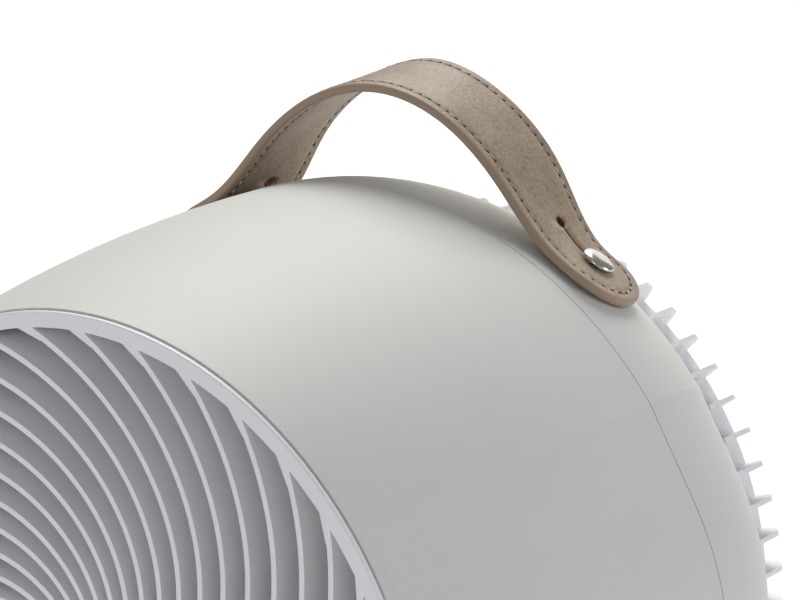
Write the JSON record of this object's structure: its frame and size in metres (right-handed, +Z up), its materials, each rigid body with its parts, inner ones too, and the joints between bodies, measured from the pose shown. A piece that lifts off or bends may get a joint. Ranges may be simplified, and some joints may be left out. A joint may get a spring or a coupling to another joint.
{
  "type": "table fan",
  "caption": "Round drum-shaped electric table fan with a spiral-vaned front grille, radial rear grille, flat foot and an arched leather carrying strap.",
  "frame": {"origin": "centre of the fan's bounding box on the table plane, under its feet", "axes": "+Z up, the air leaves along -Y through the front grille, +X to the right of someone looking along +Y at the front"},
  "size_m": [0.2372, 0.1894, 0.28],
  "materials": {
    "shell_plastic": "satin moulded ABS, warm white",
    "grille_plastic": "moulded ABS, bright white",
    "knob_plastic": "satin moulded ABS",
    "blade_plastic": "moulded polypropylene, pale grey",
    "foot_rubber": "moulded rubber",
    "black_plastic": "moulded nylon",
    "clear_nylon": "natural nylon",
    "lead_pvc": "PVC sheath",
    "brass_parts": "turned brass",
    "zinc_steel": "zinc plated pressed steel",
    "enamelled_copper": "enamelled copper wire",
    "bronze_parts": "sintered bronze",
    "screw_steel": "zinc plated steel",
    "polished_nickel": "polished nickel",
    "taupe_leather": "pebbled leather with painted edges and saddle stitching"
  },
  "bodies": {
    "housing": {"front_housing": "shell_plastic", "rear_housing": "shell_plastic", "base_cover": "shell_plastic", "front_grille": "grille_plastic", "rear_grille": "grille_plastic", "air_duct": "grille_plastic", "hub_cover": "grille_plastic", "rubber_feet": "foot_rubber", "cord_gland": "black_plastic", "rotary_switch": "black_plastic", "terminal_block": "clear_nylon", "run_capacitor": "black_plastic", "supply_lead": "lead_pvc", "motor_front_bell": "zinc_steel", "motor_rear_bell": "zinc_steel", "stator_core": "zinc_steel", "windings": "enamelled_copper", "motor_bushes": "bronze_parts", "housing_screws": "screw_steel", "grille_screws": "screw_steel", "cover_screws": "screw_steel", "base_screws": "screw_steel", "motor_screws": "screw_steel", "mount_screws": "screw_steel", "stud_screws": "screw_steel", "stud_washers": "screw_steel", "strap_studs": "polished_nickel", "strap_handle": "taupe_leather"},
    "rotor": {"impeller": "blade_plastic", "blade_nut": "blade_plastic", "motor_shaft": "zinc_steel", "rotor_core": "zinc_steel", "drive_pin": "zinc_steel"},
    "knob": {"speed_knob": "knob_plastic", "switch_shaft": "brass_parts"}
  },
  "joints": [
    {"name": "impeller_spin", "type": "hinge", "parent": "housing", "child": "rotor", "pos_m": [0, -0.0203, 0.134], "axis": [0, 1, 0], "continuous": true},
    {"name": "speed_knob_turn", "type": "hinge", "parent": "housing", "child": "knob", "pos_m": [0, 0.0887, 0.134], "axis": [0, -1, 0], "range_deg": [0, 90]}
  ]
}
